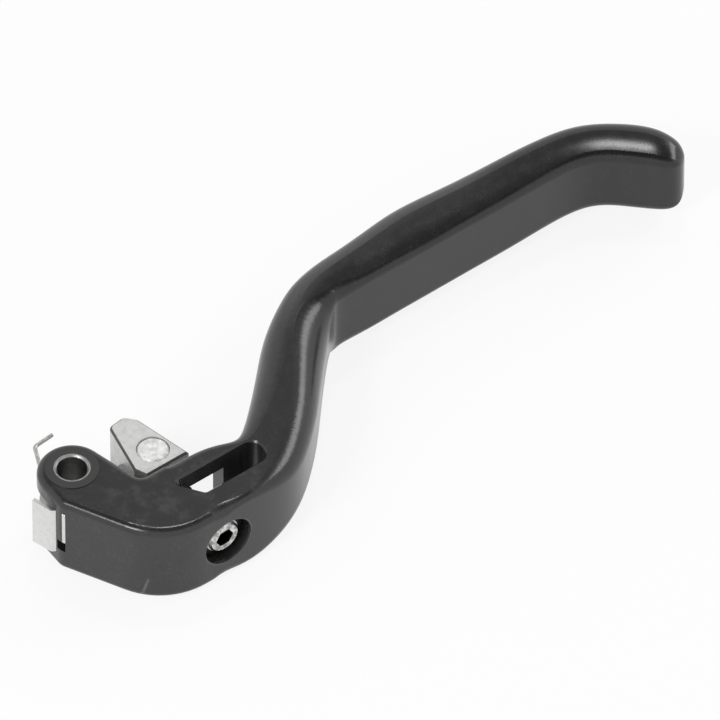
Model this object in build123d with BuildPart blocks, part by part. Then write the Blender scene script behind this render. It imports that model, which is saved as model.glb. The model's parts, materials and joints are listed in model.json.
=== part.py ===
"""Bicycle brake lever with reach adjustment, in millimetres.

The origin is on the pivot axis at mid height. +Z runs along the pivot, +X along the finger blade
towards its tip, +Y towards the handlebar and -Y towards the fingers.
"""

import os
from math import acos, atan2, cos, degrees, hypot, pi, radians, sin, tan

from build123d import *

os.makedirs("parts", exist_ok=True)

# Root of the lever: pivot boss, left face, front wall and rear bar
root_height = 16.0
root_width = 13.9
root_edge = 1.3
boss_radius = 5.7
land_radius = 4.4
land_height = 0.15
left_face_radius = 7.4
left_face_angle = 64.0
left_face_start = 1.5
left_face_round = 2.6
front_wall_y = -22.0
front_corner_round = 12.5
notch_x = 7.6
notch_round = 1.6
join_x = 12.0

# Finger face, as the corners of its outline and their radii
bend_corner_x = 29.9
neck_angle = 45.5
blade_face_y = 5.05
hook_corner_x = 108.7
hook_angle = 45.0
hook_length = 12.5
bend_radius = 22.0
elbow_radius = 4.0
hook_radius = 11.3
tip_round = 2.55
least_edge = 0.3

# Sections of the lever: width, height, front edge, rear edge, crown in degrees
root_section = (root_width, root_height, root_edge, root_edge, 0.0)
rail_section = (12.8, root_height, root_edge, root_edge, 0.0)
bend_section = (11.2, 15.8, 3.4, 2.2, 2.0)
neck_section = (10.6, 15.1, 5.0, 4.6, 4.0)
neck_end_section = (9.0, 15.0, 4.2, 4.0, 7.0)
elbow_section = (8.2, 15.0, 2.4, 3.6, 11.0)
shoulder_section = (8.9, 14.6, 1.5, 3.5, 16.0)
blade_section = (10.2, 14.6, 1.2, 3.6, 18.0)
hook_section = (8.4, 14.0, 1.7, 3.2, 15.0)
hook_end_section = (7.9, 13.7, 1.6, 3.2, 15.0)
tip_section = (7.1, 12.9, 1.5, 3.0, 14.0)

# Slot between the cheeks and window through the root
slot_half = 4.55
slot_radius = 5.6
slot_front_y = -6.2
slot_left_x = -2.8
slot_right_x = 21.2
slot_open_y = -1.5
slot_round = 1.0
bay_left_x = 8.8
window_rear_y = -12.1
window_front_y = -16.9
window_left_x = 10.9
window_right_x = 27.2
window_left_slope = 56.0
window_left_round = 0.8
window_right_round = 2.2
window_chamfer = 0.4

# Pivot sleeve, running fits and gaps
pivot_radius = 2.5
sleeve_wall = 0.5
sleeve_chamfer = 0.25
press_gap = 0.01
running_gap = 0.05
thread_gap = 0.4

# Reach screw, its washer and its clip
screw_x = 14.75
recess_radius = 4.5
recess_depth = 2.9
screw_below = 1.0
socket_flats = 3.0
socket_depth = 2.6
screw_end_radius = 2.9
screw_end_chamfer = 0.35
flange_radius = 3.9
flange_thickness = 0.8
washer_radius = 4.2
washer_thickness = 0.4
neck_radius = 3.0
shank_radius = 1.65
groove_radius = 2.3
groove_length = 0.8
collar_length = 0.6
screw_tip_y = 1.3
clip_radius = 3.9
clip_thickness = 0.7
clip_opening = 3.4
clip_gap = 0.05

# Thrust lever, its shim and its trunnion nut
hub_radius = 5.3
hub_top = 0.5
shim_thickness = 0.5
shim_radius = 4.4
arm_front_y = -4.4
arm_rear_y = 1.4
block_half = 4.25
block_edge = 0.35
block_front_y = -5.8
block_front_left_x = 10.6
block_side_x = 9.7
block_side_y = -3.6
block_right_x = 19.0
nose_left = (12.0, 6.3)
nose_mid = (15.2, 6.7)
nose_right = (16.75, 4.9)
nose_round = 1.2
trunnion_y = -1.9
trunnion_radius = 2.7
thrust_bore_radius = 2.6
thrust_bore_end_y = 3.2

# Return spring: coil round the hub, hooked leg to the rear and anchor leg on the slot
wire_radius = 0.35
coil_radius = 3.8
coil_start_angle = 154.5
coil_turn = 3 * 360 + 70.5
coil_above_hub = 0.45
coil_under_cheek = 0.2
leg_length = 12.0
hook_leg_length = 3.8
hook_leg_angle = 5.0
wire_bend = 1.0
anchor_leg_length = 4.4

# Stop plate folded from sheet
plate_thickness = 0.7
plate_half = 4.9
plate_leg_length = 1.85
plate_leg_angle = -30.0
plate_wing_length = 3.6
plate_wing_angle = 105.5
plate_bend = 0.7
plate_mouth_x = -5.9
plate_mouth_y = -3.03
plate_fold_length = 0.46
plate_gap = 0.1

sleeve_radius = pivot_radius + sleeve_wall
sleeve_half = root_height / 2 + land_height
rear_wall_y = front_wall_y + root_width


def polar(distance, angle):
    """Point at a distance and an angle in degrees from the pivot."""
    return (distance * cos(radians(angle)), distance * sin(radians(angle)))


def tangent_point(point, radius, side):
    """Where a line from the point touches a circle round the pivot."""
    x, y = point
    turn = side * degrees(acos(radius / hypot(x, y)))
    return polar(radius, degrees(atan2(y, x)) + turn)


def on_left_face(distance):
    """Point on the flat left face, at a distance along it from the foot of the pivot."""
    foot = polar(left_face_radius, -90 - left_face_angle)
    step = polar(distance, -left_face_angle)
    return (foot[0] + step[0], foot[1] + step[1])


# Outline of the root, seen from above
left_corner = on_left_face(left_face_start)
front_corner_x = left_corner[0] + (left_corner[1] - front_wall_y) / tan(radians(left_face_angle))
front_corner = (front_corner_x, front_wall_y)
notch_corner = (notch_x, rear_wall_y)
boss_left = tangent_point(left_corner, boss_radius, -1)
boss_right = tangent_point(notch_corner, boss_radius, 1)

# Stop plate, seen from above: end of its leg, fold and end of its wing
plate_mouth = (plate_mouth_x, plate_mouth_y)
plate_leg_end = Vector(*plate_mouth) + Vector(*polar(plate_leg_length, plate_leg_angle))
plate_fold = Vector(*plate_mouth) - Vector(*polar(plate_fold_length, plate_leg_angle))
plate_wing_end = plate_fold + Vector(*polar(plate_wing_length, plate_wing_angle))

# Line of the finger face from the join to the tip
neck_rise = blade_face_y - front_wall_y
elbow_corner_x = bend_corner_x + neck_rise / tan(radians(neck_angle))
tip_end = (
    hook_corner_x + hook_length * cos(radians(hook_angle)),
    blade_face_y - hook_length * sin(radians(hook_angle)),
)
with BuildLine() as face_line:
    FilletPolyline(
        (join_x, front_wall_y),
        (bend_corner_x, front_wall_y),
        (elbow_corner_x, blade_face_y),
        (hook_corner_x, blade_face_y),
        tip_end,
        radius=[bend_radius, elbow_radius, hook_radius],
    )
face_edges = face_line.line.wires()[0].edges()
face_ends = [sum(edge.length for edge in face_edges[: i + 1]) for i in range(len(face_edges))]
face_length = face_ends[-1]


def along(edge, share):
    """Length along the finger face at a share of one of its straights and bends."""
    return face_ends[edge] - (1 - share) * face_edges[edge].length


named_sections = [
    (0, root_section),
    (along(0, 1), rail_section),
    (along(1, 0.5), bend_section),
    (along(2, 0.5), neck_section),
    (along(2, 1), neck_end_section),
    (along(3, 0.5), elbow_section),
    (along(4, 0.1), shoulder_section),
    (along(4, 0.38), blade_section),
    (along(5, 0.4), hook_section),
    (along(6, 0.35), hook_section),
    (along(6, 0.75), hook_end_section),
    (face_length, tip_section),
]
stations = [0, along(0, 0.5), along(0, 1)]
stations += [along(1, 0.5), along(1, 1), along(2, 0.5), along(2, 1), along(3, 0.5), along(3, 1)]
stations += [along(4, share) for share in (0.1, 0.22, 0.38, 0.58, 0.78, 1)]
stations += [along(5, 0.5), along(5, 1), along(6, 0.35), along(6, 0.75), face_length]


def section_at(length):
    """Blend of the two named sections either side of a place, carried on past the tip."""
    pairs = list(zip(named_sections, named_sections[1:]))
    (start, before), (end, after) = next((p for p in pairs if length <= p[1][0]), pairs[-1])
    share = (length - start) / (end - start)
    return [a + share * (b - a) for a, b in zip(before, after)]


def section_plane(length, beyond=0.0):
    """Plane across the lever: local x runs from the finger face to the back, local y up."""
    wire = face_line.line.wires()[0]
    heading = wire.tangent_at(length / face_length)
    origin = wire.position_at(length / face_length) + heading * beyond
    return Plane(origin, x_dir=(-heading.Y, heading.X, 0), z_dir=heading)


def draw_section(width, height, front_edge, rear_edge, crown, inset=0.0):
    """D-shaped section with a flat finger face, a crowned top and underside and a round back."""
    tilt = radians(crown)
    front = max(front_edge - inset, least_edge)
    rear = max(rear_edge - inset, least_edge)
    top = height / 2 - inset
    back = width - inset
    span = back - inset - rear - front * (1 - sin(tilt))
    face_top = top - front * cos(tilt) - span * tan(tilt / 2)
    crown_start = (inset + front * (1 - sin(tilt)), face_top + front * cos(tilt))
    crown_end = (back - rear, top)
    front_mid = radians(135 + crown / 2)
    half = sin(radians(45))
    with BuildLine() as outline:
        Line((inset, -face_top), (inset, face_top))
        Line((back, rear - top), (back, top - rear))
        for side in (1, -1):
            ThreePointArc(
                (inset, side * face_top),
                (inset + front + front * cos(front_mid), side * (face_top + front * sin(front_mid))),
                (crown_start[0], side * crown_start[1]),
            )
            if crown > 0:
                crown_radius = span / sin(tilt)
                ThreePointArc(
                    (crown_start[0], side * crown_start[1]),
                    (
                        crown_end[0] - crown_radius * sin(tilt / 2),
                        side * (top - crown_radius * (1 - cos(tilt / 2))),
                    ),
                    (crown_end[0], side * crown_end[1]),
                )
            else:
                Line((crown_start[0], side * crown_start[1]), (crown_end[0], side * crown_end[1]))
            ThreePointArc(
                (crown_end[0], side * top),
                (back - rear + rear * half, side * (top - rear + rear * half)),
                (back, side * (top - rear)),
            )
    make_face(outline.edges())


# Lever: root block, then neck, blade and hook in one loft, then a rounded tip
with BuildPart() as lever:
    with BuildSketch():
        with BuildLine():
            Polyline((join_x, rear_wall_y), (join_x, front_wall_y), front_corner, left_corner, boss_left)
            ThreePointArc(boss_left, (0, boss_radius), boss_right)
            Polyline(boss_right, notch_corner, (join_x, rear_wall_y))
        make_face()
        for corner, radius in (
            (front_corner, front_corner_round),
            (left_corner, left_face_round),
            (notch_corner, notch_round),
        ):
            fillet(vertices().sort_by_distance(corner)[0], radius)
    extrude(amount=root_height / 2, both=True)
    rims = edges().filter_by(lambda e: abs(abs(e.center().Z) - root_height / 2) < root_edge / 2)
    fillet(rims.filter_by(lambda e: e.center().X < join_x - running_gap), root_edge)

    for station in stations:
        with BuildSketch(section_plane(station)):
            draw_section(*section_at(station))
    for turn in (30, 55, 75, 90):
        beyond = tip_round * sin(radians(turn))
        with BuildSketch(section_plane(face_length, beyond)):
            draw_section(*section_at(face_length + beyond), inset=tip_round * (1 - cos(radians(turn))))
    loft()

    with BuildSketch(Plane.XY.offset(-sleeve_half)):
        Circle(land_radius)
    extrude(amount=2 * sleeve_half)

    # Slot between the cheeks, open to the rear, with a bay in front for the screw's clip
    slot_far_y = boss_radius + root_width
    with BuildSketch(Plane.XY.offset(-slot_half)):
        Circle(slot_radius)
        with BuildLine():
            Polyline(
                (-boss_radius - root_width, slot_open_y),
                (slot_left_x, slot_open_y),
                (slot_left_x, slot_front_y),
                (bay_left_x, slot_front_y),
                (bay_left_x, window_front_y),
                (slot_right_x, window_front_y),
                (slot_right_x, slot_far_y),
                (-boss_radius - root_width, slot_far_y),
                close=True,
            )
        make_face()
        for corner in ((slot_left_x, slot_front_y), (bay_left_x, slot_front_y), (bay_left_x, window_front_y)):
            fillet(vertices().sort_by_distance(corner)[0], slot_round)
    extrude(amount=2 * slot_half, mode=Mode.SUBTRACT)

    # Window through the root, with a chamfer at both mouths
    window_shift = (window_rear_y - window_front_y) / tan(radians(window_left_slope))
    for plane, depth, taper in (
        (Plane.XY.offset(-root_height), 2 * root_height, 0),
        (Plane.XY.offset(root_height / 2 - window_chamfer), 2 * window_chamfer, -45),
        (Plane.XY.offset(window_chamfer - root_height / 2), -2 * window_chamfer, -45),
    ):
        with BuildSketch(plane):
            with BuildLine():
                Polyline(
                    (window_left_x, window_rear_y),
                    (window_left_x + window_shift, window_front_y),
                    (window_right_x, window_front_y),
                    (window_right_x, window_rear_y),
                    close=True,
                )
            make_face()
            ends = vertices().group_by(Axis.X)
            fillet(ends[-1], window_right_round)
            fillet(vertices().sort_by(Axis.X)[:2], window_left_round)
        extrude(amount=depth, taper=taper, mode=Mode.SUBTRACT)

    # Pivot bore, screw bore and recess
    with BuildSketch(Plane.XY.offset(-root_height)):
        Circle(sleeve_radius)
    extrude(amount=2 * root_height, mode=Mode.SUBTRACT)
    front_plane = Plane((screw_x, front_wall_y, 0), x_dir=(1, 0, 0), z_dir=(0, -1, 0))
    with BuildSketch(front_plane):
        Circle(neck_radius + running_gap)
    extrude(amount=front_wall_y - window_front_y - slot_round, mode=Mode.SUBTRACT)
    with BuildSketch(front_plane.offset(root_width)):
        Circle(recess_radius)
    extrude(amount=-root_width - recess_depth, mode=Mode.SUBTRACT)

    # Pocket for the leg of the stop plate
    with BuildSketch(Plane.XY.offset(-plate_half - plate_gap)):
        with Locations(Location(plate_mouth, plate_leg_angle)):
            Rectangle(2 * plate_leg_length + 2 * plate_gap, plate_thickness + 2 * plate_gap)
    extrude(amount=2 * (plate_half + plate_gap), mode=Mode.SUBTRACT)
lever.part.label = "lever_blade"
export_step(lever.part, "parts/lever_blade.step")

# Sleeve through both cheeks, for the pivot axle
with BuildPart() as sleeve:
    with BuildSketch(Plane.XY.offset(-sleeve_half)):
        Circle(sleeve_radius - press_gap)
        Circle(pivot_radius, mode=Mode.SUBTRACT)
    extrude(amount=2 * sleeve_half)
    mouths = edges().filter_by(GeomType.CIRCLE).filter_by(lambda e: e.radius < pivot_radius + press_gap)
    chamfer(mouths, sleeve_chamfer)
sleeve.part.label = "pivot_sleeve"
export_step(sleeve.part, "parts/pivot_sleeve.step")

# Shim under the hub
with BuildPart() as shim:
    with BuildSketch(Plane.XY.offset(-slot_half)):
        Circle(shim_radius)
        Circle(sleeve_radius + 2 * running_gap, mode=Mode.SUBTRACT)
    extrude(amount=shim_thickness)
shim.part.label = "hub_shim"
export_step(shim.part, "parts/hub_shim.step")

# Thrust lever: nosed block, arm and hub in one piece
with BuildPart() as thrust:
    with BuildSketch(Plane.XY.offset(-block_half)):
        with BuildLine():
            Polyline(
                nose_left,
                nose_mid,
                nose_right,
                (block_right_x, block_front_y),
                (block_front_left_x, block_front_y),
                (block_side_x, block_side_y),
                close=True,
            )
        make_face()
        for corner in (nose_left, nose_mid, nose_right):
            fillet(vertices().sort_by_distance(corner)[0], nose_round)
    extrude(amount=2 * block_half)
    chamfer(edges().group_by(Axis.Z)[0] + edges().group_by(Axis.Z)[-1], block_edge)
    hub_bottom = -slot_half + shim_thickness + running_gap
    with BuildSketch(Plane.XY.offset(hub_bottom)):
        Circle(hub_radius)
        with BuildLine():
            Polyline(
                (0, arm_rear_y),
                (screw_x, arm_rear_y),
                (screw_x, arm_front_y),
                (0, arm_front_y),
                close=True,
            )
        make_face()
    extrude(amount=hub_top - hub_bottom)
    with BuildSketch(Plane.XY.offset(-root_height)):
        Circle(sleeve_radius - press_gap + running_gap)
        with Locations((screw_x, trunnion_y)):
            Circle(trunnion_radius + running_gap)
    extrude(amount=2 * root_height, mode=Mode.SUBTRACT)
    with BuildSketch(Plane((screw_x, thrust_bore_end_y, 0), x_dir=(1, 0, 0), z_dir=(0, -1, 0))):
        Circle(thrust_bore_radius)
    extrude(amount=root_width, mode=Mode.SUBTRACT)
thrust.part.label = "thrust_lever"
export_step(thrust.part, "parts/thrust_lever.step")

# Trunnion nut, cross-drilled for the screw
with BuildPart() as trunnion:
    with BuildSketch(Plane.XY.offset(-block_half)):
        with Locations((screw_x, trunnion_y)):
            Circle(trunnion_radius)
    extrude(amount=2 * block_half)
    chamfer(edges().filter_by(GeomType.CIRCLE), block_edge)
    with BuildSketch(Plane((screw_x, trunnion_y, 0), x_dir=(1, 0, 0), z_dir=(0, -1, 0))):
        Circle(shank_radius + thread_gap)
    extrude(amount=root_width, both=True, mode=Mode.SUBTRACT)
trunnion.part.label = "trunnion_nut"
export_step(trunnion.part, "parts/trunnion_nut.step")

# Reach screw, turned round its own axis, with a hexagon socket
recess_floor_y = front_wall_y + recess_depth
flange_rear_y = recess_floor_y - washer_thickness
flange_front_y = flange_rear_y - flange_thickness
screw_end_y = front_wall_y + screw_below
groove_end_y = window_front_y + groove_length
collar_end_y = groove_end_y + collar_length
with BuildPart() as screw:
    with BuildSketch():
        with BuildLine():
            Polyline(
                (screw_x, screw_end_y),
                (screw_x + screw_end_radius, screw_end_y),
                (screw_x + screw_end_radius, flange_front_y),
                (screw_x + flange_radius, flange_front_y),
                (screw_x + flange_radius, flange_rear_y),
                (screw_x + neck_radius, flange_rear_y),
                (screw_x + neck_radius, window_front_y),
                (screw_x + groove_radius, window_front_y),
                (screw_x + groove_radius, groove_end_y),
                (screw_x + neck_radius, groove_end_y),
                (screw_x + neck_radius, collar_end_y),
                (screw_x + shank_radius, collar_end_y),
                (screw_x + shank_radius, screw_tip_y),
                (screw_x, screw_tip_y),
                close=True,
            )
        make_face()
        outer_corners = ((screw_x + screw_end_radius, screw_end_y), (screw_x + shank_radius, screw_tip_y))
        for corner in outer_corners:
            chamfer(vertices().sort_by_distance(corner)[0], screw_end_chamfer)
    revolve(axis=Axis((screw_x, 0, 0), (0, 1, 0)))
    with BuildSketch(Plane((screw_x, screw_end_y, 0), x_dir=(1, 0, 0), z_dir=(0, -1, 0))):
        RegularPolygon(socket_flats / 2, 6, major_radius=False)
    extrude(amount=-socket_depth, mode=Mode.SUBTRACT)
screw.part.label = "reach_screw"
export_step(screw.part, "parts/reach_screw.step")

# Friction washer on the floor of the recess
with BuildPart() as washer:
    with BuildSketch(Plane((screw_x, recess_floor_y, 0), x_dir=(1, 0, 0), z_dir=(0, -1, 0))):
        Circle(washer_radius)
        Circle(neck_radius + 2 * running_gap, mode=Mode.SUBTRACT)
    extrude(amount=washer_thickness)
washer.part.label = "friction_washer"
export_step(washer.part, "parts/friction_washer.step")

# Open clip in the groove of the screw
clip_front_y = window_front_y + (groove_length - clip_thickness) / 2
with BuildPart() as clip:
    with BuildSketch(Plane((screw_x, clip_front_y, 0), x_dir=(1, 0, 0), z_dir=(0, -1, 0))):
        Circle(clip_radius)
        Circle(groove_radius + clip_gap, mode=Mode.SUBTRACT)
        with Locations((0, -clip_radius)):
            Rectangle(clip_opening, 2 * clip_radius, mode=Mode.SUBTRACT)
    extrude(amount=-clip_thickness)
clip.part.label = "screw_clip"
export_step(clip.part, "parts/screw_clip.step")

# Return spring, drawn with its coil starting on the X axis and then turned to its place
coil_bottom = hub_top + coil_above_hub + wire_radius
coil_top = slot_half - coil_under_cheek - wire_radius
coil_turns = coil_turn / 360
coil_pitch = (coil_top - coil_bottom) / coil_turns
slope = coil_pitch / (2 * pi * coil_radius)
hook_turn = hook_leg_angle - coil_start_angle
leg_corner = Vector(coil_radius, -leg_length, coil_bottom - slope * leg_length)
hook_end = leg_corner + Vector(*polar(hook_leg_length, hook_turn))
coil_end = Vector(*polar(coil_radius, coil_turn), coil_top)
anchor_end = coil_end + Vector(*polar(anchor_leg_length, coil_turn + 90), slope * anchor_leg_length)
with BuildPart() as spring:
    with BuildLine() as wire_line:
        FilletPolyline(hook_end, leg_corner, (coil_radius, 0, coil_bottom), radius=wire_bend)
        Helix(coil_pitch, coil_top - coil_bottom, coil_radius, center=(0, 0, coil_bottom))
        Line(coil_end, anchor_end)
    with BuildSketch(Plane(hook_end, z_dir=leg_corner - hook_end)):
        Circle(wire_radius)
    sweep()
turned_spring = spring.part.rotate(Axis.Z, coil_start_angle)
turned_spring.label = "return_spring"
export_step(turned_spring, "parts/return_spring.step")

# Stop plate: a strip with its leg in the pocket and its wing beside the boss
with BuildPart() as plate:
    with BuildLine() as fold_line:
        FilletPolyline(plate_leg_end, plate_fold, plate_wing_end, radius=plate_bend)
    with BuildSketch(Plane(plate_leg_end, x_dir=(0, 0, 1), z_dir=plate_fold - plate_leg_end)):
        Rectangle(2 * plate_half, plate_thickness)
    sweep()
plate.part.label = "stop_plate"
export_step(plate.part, "parts/stop_plate.step")
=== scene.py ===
import json
import math

import bmesh
import bpy
import numpy as np
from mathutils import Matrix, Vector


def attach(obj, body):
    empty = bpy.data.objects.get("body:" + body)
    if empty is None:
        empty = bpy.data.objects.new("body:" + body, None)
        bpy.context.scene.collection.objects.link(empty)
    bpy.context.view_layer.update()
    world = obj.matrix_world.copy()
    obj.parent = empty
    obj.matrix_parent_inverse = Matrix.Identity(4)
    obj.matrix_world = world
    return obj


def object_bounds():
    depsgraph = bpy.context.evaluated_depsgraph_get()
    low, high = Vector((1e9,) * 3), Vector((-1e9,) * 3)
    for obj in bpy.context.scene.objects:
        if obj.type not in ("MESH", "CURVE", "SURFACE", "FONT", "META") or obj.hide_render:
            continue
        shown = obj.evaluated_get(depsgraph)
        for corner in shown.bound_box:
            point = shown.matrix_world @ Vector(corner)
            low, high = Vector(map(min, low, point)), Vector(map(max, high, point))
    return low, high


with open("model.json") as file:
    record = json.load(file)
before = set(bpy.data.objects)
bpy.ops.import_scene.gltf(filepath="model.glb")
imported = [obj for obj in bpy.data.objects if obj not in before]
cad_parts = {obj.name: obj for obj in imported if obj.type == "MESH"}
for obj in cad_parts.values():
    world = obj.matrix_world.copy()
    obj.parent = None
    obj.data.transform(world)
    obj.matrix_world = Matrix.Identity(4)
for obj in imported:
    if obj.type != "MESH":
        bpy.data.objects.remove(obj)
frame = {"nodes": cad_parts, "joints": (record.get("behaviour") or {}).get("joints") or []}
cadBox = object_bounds()
nodes = frame["nodes"]
mm = 0.001
screwAxisX = next(joint["pos_m"][0] for joint in frame["joints"] if joint["name"] == "reach_turn")
print("frame loaded:", len(nodes), "solids")


class Flow:  # one socket in a node tree, so that shader sums read as sums
    def __init__(self, tree, socket=None):
        self.tree = tree
        self.socket = socket

    def plug(self, slot, value):  # a link for another Flow, a plain value for the rest
        if isinstance(value, Flow):
            self.tree.links.new(value.socket, slot)
        else:
            slot.default_value = value

    def node(self, kind, settings=None, sockets=None, out=0):  # any node: type, settings, then sockets
        made = self.tree.nodes.new(kind)
        for name, value in (settings or {}).items():
            setattr(made, name, value)
        for name, value in (sockets or {}).items():
            self.plug(made.inputs[name], value)
        return Flow(self.tree, made.outputs[out] if made.outputs else None)

    def sums(self, step, first, second):
        return self.node("ShaderNodeMath", {"operation": step}, {0: first, 1: second})

    def __add__(self, other):
        return self.sums("ADD", self, other)

    def __sub__(self, other):
        return self.sums("SUBTRACT", self, other)

    def __rsub__(self, other):
        return self.sums("SUBTRACT", other, self)

    def __mul__(self, other):
        return self.sums("MULTIPLY", self, other)

    def __truediv__(self, other):
        return self.sums("DIVIDE", self, other)

    def __rtruediv__(self, other):
        return self.sums("DIVIDE", other, self)

    def __pow__(self, other):
        return self.sums("POWER", self, other)

    __radd__ = __add__
    __rmul__ = __mul__

    def clip(self, low, high):  # runs from 0 at low to 1 at high, smoothly
        return self.node("ShaderNodeMapRange", {"interpolation_type": "SMOOTHSTEP"},
                         {"Value": self, "From Min": low, "From Max": high})

    def mix(self, first, second):  # self as the share of the second colour
        return self.node("ShaderNodeMix", {"data_type": "RGBA"},
                         {0: self, 6: (*first, 1) if isinstance(first, tuple) else first,
                          7: (*second, 1) if isinstance(second, tuple) else second}, out=2)

    def parts(self, vector):  # the three numbers of a vector
        split = self.node("ShaderNodeSeparateXYZ", None, {0: vector}).socket.node
        return [Flow(self.tree, end) for end in split.outputs]

    def noise(self, where, perMetre, detail=3.0, rough=0.55):
        return self.node("ShaderNodeTexNoise", None,
                         {"Vector": where, "Scale": perMetre, "Detail": detail, "Roughness": rough})

    def bump(self, height, strength, depth):
        return self.node("ShaderNodeBump", None,
                         {"Height": height, "Strength": strength, "Distance": depth}, out="Normal")


def clearedTree(owner):  # the emptied node tree of a material or a world
    owner.use_nodes = True
    owner.node_tree.nodes.clear()
    return Flow(owner.node_tree)


def newMaterial(name):  # an empty material, its Flow, its Principled sockets and its object coordinates
    material = bpy.data.materials.new(name)
    flow = clearedTree(material)
    shader = flow.node("ShaderNodeBsdfPrincipled", out="BSDF")
    flow.node("ShaderNodeOutputMaterial", None, {"Surface": shader})
    where = flow.node("ShaderNodeTexCoord", out="Object")
    return material, flow, shader.socket.node.inputs, where


blackFinish = {
    "colour": (0.0115, 0.0117, 0.0120),
    "greyed": (0.0235, 0.0235, 0.0238),
    "greyedAtRoot": 0.75,
    "root": (18 * mm, 30 * mm),  # where the greyer root fades into the neck
    "patchesPerMetre": 70.0,
    "patchBand": (0.35, 0.75),  # the run of the noise in which the greyed patches fade in
    "smearsPerMetre": 420.0,
    "smearBand": (0.30, 0.70),
    "dustPerMetre": 1900.0,
    "dustBand": (0.42, 0.70),
    "dusty": (0.036, 0.036, 0.035),
    "dustOffRoot": 0.40,
    "blade": (44 * mm, 96 * mm),
    "bladeFade": 9 * mm,
    "bladeBack": (-0.50, 0.85),  # the way from the blade's finger side to its back
    "bladeLean": (-0.14, 0.06),
    # painted sheen: the colour and the noise run that lighten the back half of the blade's top
    "bladeBackSheen": (0.046, 0.046, 0.045),
    "bladeSheenBand": (0.12, 0.50),
    "upward": (0.80, 0.96),  # how level a face has to lie for smudges and the painted blade sheen
    "smudged": (0.044, 0.044, 0.043),
    "smudgeBands": ((0.50, 0.72), (0.40, 0.60)),  # in the smears and in the patches
    "worn": (0.16, 0.16, 0.16),
    "rubbedLand": (0.040, 0.040, 0.040),
    "landRadius": 4.4 * mm,
    "landEdge": 0.05 * mm,
    "roughness": 0.21,
    "roughSpread": 0.07,
    "roughWhereRubbed": 0.1,
    "grainPerMetre": 5200.0,
    "grainDepth": 0.006 * mm,
    "grainStrength": 0.35,
    "recessRadius": 4.5 * mm,
    "recessFace": -21.7 * mm,
    "recessDepth": 0.5 * mm,
    "rimHalf": (0.05 * mm, 0.30 * mm),  # full and spent wear, either side of the recess's edge
    "rimBand": (0.40, 0.62),
    "rimWear": 0.35,
    "scuffTop": (1.55 * mm, -18.40 * mm, -2.9 * mm),
    "scuffFoot": (0.75 * mm, -17.55 * mm, -7.2 * mm),
    "scuffWide": 0.34 * mm,
    "scuffCore": 0.3,
    "scuffFade": 0.25,
    "scuffBand": (0.30, 0.62),
    "scuffWear": 0.5,
}


def blackAnodised(look):
    # satin black with a blasted grain, greyer at the root, smudged and dusty on top, with a painted sheen
    # on the back-leaning top of the blade, rubbed round the pivot and the recess, with one scuff on the
    # front corner
    material, flow, sockets, where = newMaterial("blackAnodised")
    patches = flow.noise(where, look["patchesPerMetre"], 4.0)
    smears = flow.noise(where, look["smearsPerMetre"], 3.0)
    dust = flow.noise(where, look["dustPerMetre"], 5.0, 0.65)
    grain = flow.noise(where, look["grainPerMetre"], 2.0)
    x, y, z = flow.parts(where)
    fromScrew = ((x - screwAxisX) * (x - screwAxisX) + z * z) ** 0.5
    edge = look["recessRadius"]
    full, spent = look["rimHalf"]
    nearRim = fromScrew.clip(edge - spent, edge - full) * (1 - fromScrew.clip(edge + full, edge + spent))
    rim = nearRim * (1 - y.clip(look["recessFace"], look["recessFace"] + look["recessDepth"]))
    rim = rim * smears.clip(*look["rimBand"]) * look["rimWear"]
    top, foot = np.array(look["scuffTop"]), np.array(look["scuffFoot"])
    share = (z - foot[2]) / (top[2] - foot[2])  # 0 at the scuff's foot and 1 at its top
    offX = x - (foot[0] + share * (top[0] - foot[0]))
    offY = y - (foot[1] + share * (top[1] - foot[1]))
    away = (offX * offX + offY * offY) ** 0.5
    onScuff = share.clip(0.0, look["scuffFade"]) * (1 - share.clip(1 - look["scuffFade"], 1.0))
    onScuff = onScuff * (1 - away.clip(look["scuffCore"] * look["scuffWide"], look["scuffWide"]))
    scuff = onScuff * smears.clip(*look["scuffBand"]) * look["scuffWear"]
    atRoot = 1 - x.clip(*look["root"])
    grey = atRoot * look["greyedAtRoot"] + patches.clip(*look["patchBand"]) * (1 - look["greyedAtRoot"])
    dark = grey.mix(look["colour"], look["greyed"])
    settled = dust.clip(*look["dustBand"]) * smears.clip(*look["smearBand"])
    settled = settled * (look["dustOffRoot"] + atRoot * (1 - look["dustOffRoot"]))
    dark = settled.mix(dark, look["dusty"])
    leanX, leanY, leanZ = flow.parts(flow.node("ShaderNodeNewGeometry", out="Normal"))
    upward = leanZ.clip(*look["upward"])
    backX, backY = look["bladeBack"]
    rearward = (leanX * backX + leanY * backY).clip(*look["bladeLean"])
    start, end = look["blade"]
    fade = look["bladeFade"]
    onBlade = x.clip(start, start + fade) * (1 - x.clip(end - fade, end))
    # painted sheen: the back-leaning top of the blade is lightened as if lit from behind, mottled by the
    # dust noise
    paintedBackSheen = upward * rearward * onBlade * dust.clip(*look["bladeSheenBand"])
    dark = paintedBackSheen.mix(dark, look["bladeBackSheen"])
    smearBand, patchBand = look["smudgeBands"]
    smudges = smears.clip(*smearBand) * patches.clip(*patchBand) * upward * atRoot
    dark = smudges.mix(dark, look["smudged"])
    fromPivot = (x * x + y * y) ** 0.5
    land, soft = look["landRadius"], look["landEdge"]
    onLand = 1 - fromPivot.clip(land - soft, land + soft)
    dark = onLand.mix(dark, look["rubbedLand"])
    rubbed = rim + scuff
    flow.plug(sockets["Base Color"], rubbed.mix(dark, look["worn"]))
    rough = look["roughness"] + (smears - 0.5) * look["roughSpread"]
    flow.plug(sockets["Roughness"], rough + rubbed * look["roughWhereRubbed"])
    flow.plug(sockets["Normal"], flow.bump(grain, look["grainStrength"], look["grainDepth"]))
    return material


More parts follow.
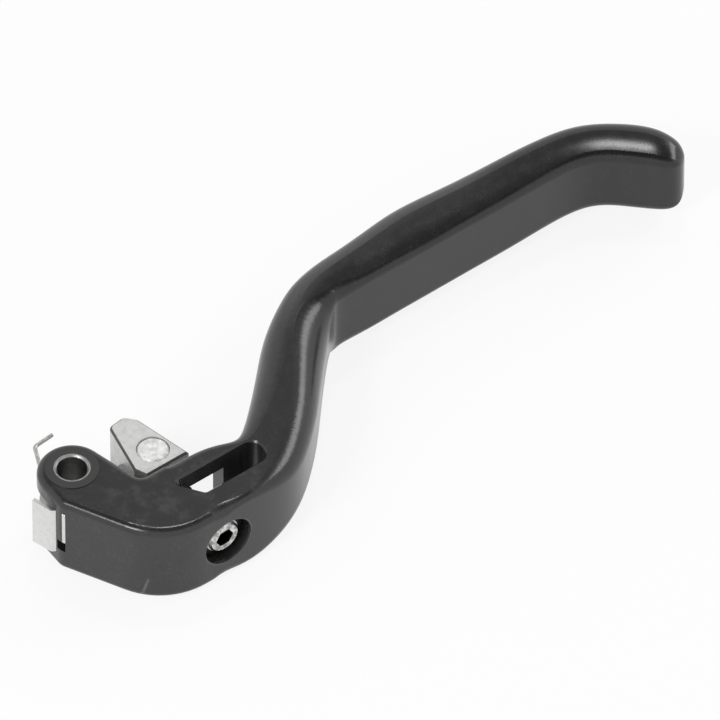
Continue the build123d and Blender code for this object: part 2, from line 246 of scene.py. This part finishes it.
metals = {
    "bareAluminium": {
        "colour": (0.66, 0.66, 0.65), "dull": (0.57, 0.57, 0.56), "roughness": 0.44, "metallic": 0.55,
        # the chamfer colour is painted shade, for edges that turn half away
        "grain": 3800.0, "depth": 0.010 * mm, "along": (1, 1, 1), "chamfer": (0.10, 0.10, 0.10)},
    "brightPlate": {
        "colour": (0.76, 0.76, 0.75), "dull": (0.70, 0.70, 0.69), "roughness": 0.34, "metallic": 1.0,
        "grain": 2600.0, "depth": 0.004 * mm, "along": (1, 1, 0.12)},
    "zincNut": {
        "colour": (0.90, 0.90, 0.89), "dull": (0.62, 0.62, 0.61), "roughness": 0.50, "metallic": 0.55,
        "grain": 2600.0, "depth": 0.008 * mm, "along": (1, 1, 1)},
    "turnedSteel": {
        "colour": (0.36, 0.36, 0.355), "dull": (0.26, 0.26, 0.255), "roughness": 0.36, "metallic": 1.0,
        "grain": 3000.0, "depth": 0.004 * mm, "along": (0.3, 0.3, 2.5)},
    "screwSteel": {
        "colour": (0.76, 0.76, 0.74), "dull": (0.64, 0.64, 0.62), "roughness": 0.27, "metallic": 1.0,
        "grain": 3200.0, "depth": 0.003 * mm, "along": (1, 2.5, 1),
        "grimeAndShade": (0.018, 0.018, 0.018), "grime": 0.6, "faceY": -20.9 * mm, "grimeDepth": 0.3 * mm,
        "socketRadius": 1.78 * mm, "socketEdge": 0.02 * mm, "socketFade": 0.5 * mm,
        "socketFloor": (-18.2 * mm, -18.0 * mm), "flangeRadius": 3.05 * mm, "flangeEdge": 0.06 * mm},
    "springWire": {
        "colour": (0.54, 0.53, 0.51), "dull": (0.40, 0.39, 0.38), "roughness": 0.33, "metallic": 1.0,
        "grain": 2400.0, "depth": 0.004 * mm, "along": (1, 1, 1)},
}
tooled = {  # shared by all the metals
    "patchesPerMetre": 900.0, "dullBand": (0.35, 0.70), "grimeBand": (0.38, 0.62),
    "patchRough": 0.10, "grainRough": 0.08, "grainStrength": 0.4,
    "chamferFrom": (0.3, 0.5), "chamferTo": (0.85, 0.95),
}


def bareMetal(name, look):  # metal with dull patches and a fine tooled grain drawn out along one axis
    material, flow, sockets, where = newMaterial(name)
    stretched = flow.node("ShaderNodeMapping", None, {"Vector": where, "Scale": look["along"]})
    grain = flow.noise(stretched, look["grain"], 3.0)
    patches = flow.noise(where, tooled["patchesPerMetre"], 3.0)
    tone = patches.clip(*tooled["dullBand"]).mix(look["colour"], look["dull"])
    if "chamfer" in look:  # painted shade: edges darkened, found by their half-turned faces
        upright = flow.parts(flow.node("ShaderNodeNewGeometry", out="True Normal"))[2]
        lean = flow.node("ShaderNodeMath", {"operation": "ABSOLUTE"}, {0: upright})
        shadedEdge = lean.clip(*tooled["chamferFrom"]) * (1 - lean.clip(*tooled["chamferTo"]))
        tone = shadedEdge.mix(tone, look["chamfer"])
    if "faceY" in look:  # grimy face, with painted shade in the socket and on the flange
        x, y, z = flow.parts(where)
        face, rim = look["faceY"], look["socketRadius"]
        radius = ((x - screwAxisX) * (x - screwAxisX) + z * z) ** 0.5
        socketShade = y.clip(face, face + look["socketFade"]) * (1 - y.clip(*look["socketFloor"]))
        socketShade = socketShade * (1 - radius.clip(rim - look["socketEdge"], rim + look["socketEdge"]))
        flangeShade = radius.clip(look["flangeRadius"], look["flangeRadius"] + look["flangeEdge"])
        grime = (1 - y.clip(face, face + look["grimeDepth"])) * patches.clip(*tooled["grimeBand"])
        tone = (grime * look["grime"]).mix(tone, look["grimeAndShade"])
        # painted shade: the socket's inside and the flange down in the recess take the dark colour
        tone = (socketShade + flangeShade).mix(tone, look["grimeAndShade"])
    flow.plug(sockets["Base Color"], tone)
    rough = look["roughness"] + (patches - 0.5) * tooled["patchRough"]
    flow.plug(sockets["Roughness"], rough + (grain - 0.5) * tooled["grainRough"])
    flow.plug(sockets["Normal"], flow.bump(grain, tooled["grainStrength"], look["depth"]))
    sockets["Metallic"].default_value = look["metallic"]
    return material


mattBlacks = {
    "blackRubber": {
        "colour": (0.012, 0.012, 0.012), "dusty": (0.028, 0.028, 0.027), "roughness": 0.62, "shine": 0.5},
    "pocketShade": {
        # painted shade: near black, for the sheet that stands in for the shadowed pocket
        "colour": (0.002, 0.002, 0.002), "dusty": (0.006, 0.006, 0.006), "roughness": 0.85, "shine": 0.05},
}
specked = {"perMetre": 1800.0, "band": (0.5, 0.72), "roughSpread": 0.2, "strength": 0.5, "depth": 0.010 * mm}


def mattBlack(name, look):  # matt black with dusty specks
    material, flow, sockets, where = newMaterial(name)
    specks = flow.noise(where, specked["perMetre"], 4.0)
    flow.plug(sockets["Base Color"], specks.clip(*specked["band"]).mix(look["colour"], look["dusty"]))
    flow.plug(sockets["Roughness"], look["roughness"] + (specks - 0.5) * specked["roughSpread"])
    flow.plug(sockets["Normal"], flow.bump(specks, specked["strength"], specked["depth"]))
    sockets["Specular IOR Level"].default_value = look["shine"]
    return material


finishes = {name: bareMetal(name, look) for name, look in metals.items()}
finishes.update({name: mattBlack(name, look) for name, look in mattBlacks.items()})
finishes["blackAnodised"] = blackAnodised(blackFinish)
wearing = {
    "lever_blade": "blackAnodised", "pivot_sleeve": "turnedSteel", "thrust_lever": "bareAluminium",
    "trunnion_nut": "zincNut", "reach_screw": "screwSteel", "stop_plate": "brightPlate",
    "return_spring": "springWire", "friction_washer": "blackRubber", "screw_clip": "springWire",
    "hub_shim": "turnedSteel",
}
for node, finish in wearing.items():
    nodes[node].data.materials.clear()
    nodes[node].data.materials.append(finishes[finish])
print("finishes put on:", ", ".join(sorted(finishes)))


mergeWithin = 0.0001 * mm


def gridPiece(name, points, ringed, finish, body):
    # a grid of rows that close round on themselves; ringed joins the last row to the first,
    # otherwise the end rows have drawn in to a point each and are merged there
    rows, around = points.shape[:2]
    i, j = np.meshgrid(np.arange(rows if ringed else rows - 1), np.arange(around), indexing="ij")
    place = lambda a, b: (a % rows) * around + b % around
    corners = [place(i, j), place(i, j + 1), place(i + 1, j + 1), place(i + 1, j)]
    quads = np.stack(corners, -1).reshape(-1, 4)
    mesh = bpy.data.meshes.new(name)
    mesh.from_pydata(points.reshape(-1, 3).tolist(), [], quads.tolist())
    shell = bmesh.new()
    shell.from_mesh(mesh)
    bmesh.ops.remove_doubles(shell, verts=shell.verts, dist=mergeWithin)
    bmesh.ops.recalc_face_normals(shell, faces=shell.faces)
    shell.to_mesh(mesh)
    shell.free()
    mesh.polygons.foreach_set("use_smooth", np.ones(len(mesh.polygons), bool))
    mesh.materials.append(finishes[finish])
    piece = bpy.data.objects.new(name, mesh)
    bpy.context.scene.collection.objects.link(piece)
    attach(piece, body)
    return piece


screwThread = {
    "from": -15.2 * mm, "to": 1.0 * mm, "pitch": 0.70 * mm, "runOut": 0.9 * mm,
    "root": 1.60 * mm, "crest": 1.98 * mm, "inside": 1.45 * mm,
    "nutFrom": -7.4 * mm, "nutCrest": 1.83 * mm,
    "steepness": 1.35, "rootFlat": 0.1, "round": 40, "perPitch": 10,
}


def threadOnShank(look):
    # radius = root + crest height x a triangle wave of (length / pitch - turn), faded out at both ends;
    # the crest is eased where the nut travels, and the sleeve closes on itself through a plain inner wall
    length = look["to"] - look["from"]
    count = int(length / look["pitch"] * look["perPitch"])
    turn = np.arange(look["round"]) / look["round"]
    t = np.linspace(0, length, count)
    v, u = np.meshgrid(t, turn, indexing="ij")
    wave = 1 - 2 * np.abs((v / look["pitch"] - u) % 1 - 0.5)
    flank = np.clip(wave * look["steepness"] - look["rootFlat"], 0, 1)
    fade = np.clip(np.minimum(v, length - v) / look["runOut"], 0, 1)
    inNut = np.clip((look["from"] + v - look["nutFrom"]) / look["runOut"], 0, 1)
    crest = look["crest"] + (look["nutCrest"] - look["crest"]) * inNut
    outer = look["root"] + (crest - look["root"]) * flank * fade
    inner = np.full((2, look["round"]), look["inside"])
    radius = np.vstack([outer, inner])
    along = np.concatenate([t, [length, 0]])[:, None] + np.zeros(look["round"])
    angle = 2 * np.pi * turn[None, :] + np.zeros(radius.shape)
    x, z = screwAxisX + radius * np.sin(angle), radius * np.cos(angle)
    points = np.stack([x, look["from"] + along, z], -1)
    return gridPiece("screw_thread", points, True, "screwSteel", "screw")


thread = threadOnShank(screwThread)
print("thread cut:", len(thread.data.polygons), "faces")


plateSeat = {  # the left corner of the root, seen from above: its round, the tongue set into it and a near-black sheet of painted shade for the pocket
    "centre": (-3.356 * mm, -4.068 * mm), "round": 2.6 * mm, "faceAngle": -154.0, "cornerTurn": 29.5,
    "tongue": {"across": (-0.33 * mm, 0.27 * mm), "height": (-1.45 * mm, 5.38 * mm), "proud": 0.05 * mm},
    # the pocket is no hole: a near-black sheet laid on the face as painted shade for the shadowed end of the
    # slot
    "pocket": {"across": (-0.35 * mm, 1.45 * mm), "height": (-3.55 * mm, -1.48 * mm), "proud": 0.02 * mm},
    "deep": 0.25 * mm, "squareness": 8.0, "around": 32,
    "endWidths": (0.0, 0.90, 0.97, 1.0), "endRises": (0.0, 0.0, 0.01, 0.03),  # each end draws in to a point
}


def stripInCorner(name, look, strip, finish):
    # across = width x squared-off cosine, out = thickness x squared-off sine, carried up the height
    # with closed ends, then bent round the corner: centre + (round + out) at the angle across / round
    u = np.linspace(0, 2 * np.pi, look["around"], endpoint=False)
    square = lambda wave: np.sign(wave) * np.abs(wave) ** (2 / look["squareness"])
    widths, rises = np.array(look["endWidths"]), np.array(look["endRises"])
    ends = np.concatenate([widths, widths[::-1]])
    rise = np.concatenate([rises, 1 - rises[::-1]])
    (w0, w1), (z0, z1) = strip["across"], strip["height"]
    across = (w0 + w1) / 2 + (w1 - w0) / 2 * ends[:, None] * square(np.cos(u))
    thick = (strip["proud"] + look["deep"]) / 2
    out = strip["proud"] - thick + thick * ends[:, None] * square(np.sin(u))
    high = (z0 + (z1 - z0) * rise)[:, None] + np.zeros(len(u))
    arc = math.radians(look["cornerTurn"]) * look["round"]
    bent = np.clip(across, 0, arc)
    angle = math.radians(look["faceAngle"]) - bent / look["round"]
    past = across - bent  # what lies on the flat to either side of the round
    x = look["centre"][0] + (look["round"] + out) * np.cos(angle) + past * np.sin(angle)
    y = look["centre"][1] + (look["round"] + out) * np.sin(angle) - past * np.cos(angle)
    return gridPiece(name, np.stack([x, y, high], -1), False, finish, "lever")


stripInCorner("plate_tongue", plateSeat, plateSeat["tongue"], "brightPlate")
stripInCorner("plate_pocket_shade", plateSeat, plateSeat["pocket"], "pocketShade")
print("plate seated: tongue and pocket")


floorLook = {"gap": 0.05 * mm, "half": 3.0, "colour": (0.90, 0.90, 0.90), "whiteShare": 0.86}


def paleFloor(look):  # pale, almost white to the camera and in reflections, with a soft shadow left on it
    h, z = look["half"], cadBox[0][2] - look["gap"]
    mesh = bpy.data.meshes.new("floor")
    mesh.from_pydata([(-h, -h, z), (h, -h, z), (h, h, z), (-h, h, z)], [], [(0, 1, 2, 3)])
    material = bpy.data.materials.new("paleFloor")
    flow = clearedTree(material)
    direct = flow.node("ShaderNodeLightPath", out="Is Camera Ray")
    mirrored = flow.node("ShaderNodeLightPath", out="Is Glossy Ray")
    seen = flow.sums("MAXIMUM", direct, mirrored)
    pale = flow.node("ShaderNodeBsdfDiffuse", None, {"Color": (*look["colour"], 1)})
    white = flow.node("ShaderNodeEmission", None, {"Color": (1, 1, 1, 1), "Strength": 1.0})
    both = flow.node("ShaderNodeMixShader", None, {0: seen * look["whiteShare"], 1: pale, 2: white})
    flow.node("ShaderNodeOutputMaterial", None, {"Surface": both})
    mesh.materials.append(material)
    floor = bpy.data.objects.new("floor", mesh)
    bpy.context.scene.collection.objects.link(floor)


paleFloor(floorLook)


studio = {
    "low": 1.0, "high": 0.05, "fallFrom": 0.57, "fallTo": 0.88,
    "lamps": [  # direction from the aim, distance, sides of the box and its radiance
        {"name": "rightBox", "towards": (0.829, -0.03, 0.559), "away": 0.62,
         "wide": 0.40, "tall": 0.18, "level": 4.2},
        {"name": "leftBox", "towards": (-0.72, -0.15, 0.68), "away": 0.60,
         "wide": 0.16, "tall": 0.16, "level": 15.0},
        {"name": "highBox", "towards": (0.25, 0.285, 0.925), "away": 1.60,
         "wide": 0.22, "tall": 0.22, "level": 20.0},
    ],
    "aim": (55 * mm, -4 * mm, 0.0),
}


def softStudio(look):  # a pale tent round the object, darker overhead, with soft boxes
    world = bpy.data.worlds.new("studio")
    bpy.context.scene.world = world
    flow = clearedTree(world)
    direction = flow.node("ShaderNodeTexCoord", out="Generated")
    up = flow.parts(direction)[2]
    low, high = (look["low"],) * 3, (look["high"],) * 3
    tent = up.clip(look["fallFrom"], look["fallTo"]).mix(low, high)
    seen = flow.node("ShaderNodeLightPath", out="Is Camera Ray").mix(tent, (1.0, 1.0, 1.0))
    light = flow.node("ShaderNodeBackground", None, {"Color": seen, "Strength": 1.0})
    flow.node("ShaderNodeOutputWorld", None, {"Surface": light})
    for lamp in look["lamps"]:
        data = bpy.data.lights.new(lamp["name"], "AREA")
        data.shape = "RECTANGLE"
        data.size = lamp["wide"]
        data.size_y = lamp["tall"]
        data.energy = math.pi * lamp["level"] * lamp["wide"] * lamp["tall"]
        made = bpy.data.objects.new(lamp["name"], data)
        bpy.context.scene.collection.objects.link(made)
        aim = np.array(lamp["towards"]) / np.linalg.norm(lamp["towards"])
        made.location = np.array(look["aim"]) + lamp["away"] * aim
        made.rotation_euler = (math.acos(aim[2]), 0, math.atan2(aim[1], aim[0]) + math.pi / 2)


softStudio(studio)
print("studio lit:", len(studio["lamps"]), "boxes")


photoView = {
    "target": (55.20 * mm, -3.66 * mm, 0.0), "across": 116.13 * mm, "azimuth": -37.3, "elevation": 48.0,
    "lens": 1200.0, "sensor": 36.0, "clipStart": 0.01, "clipEnd": 50.0,
}


def photoCamera(look):  # a very long lens, so that the view is almost parallel
    data = bpy.data.cameras.new("photoCamera")
    data.lens = look["lens"]
    data.sensor_width = look["sensor"]
    data.clip_start = look["clipStart"]
    data.clip_end = look["clipEnd"]
    camera = bpy.data.objects.new("photoCamera", data)
    bpy.context.scene.collection.objects.link(camera)
    away = look["across"] * look["lens"] / look["sensor"]
    a, e = math.radians(look["azimuth"]), math.radians(look["elevation"])
    back = np.array([math.sin(a) * math.cos(e), -math.cos(a) * math.cos(e), math.sin(e)])
    camera.location = np.array(look["target"]) + away * back
    camera.rotation_euler = (math.pi / 2 - e, 0, a)
    bpy.context.scene.camera = camera


photoCamera(photoView)
bpy.context.scene.view_settings.view_transform = "Standard"
print("camera set")
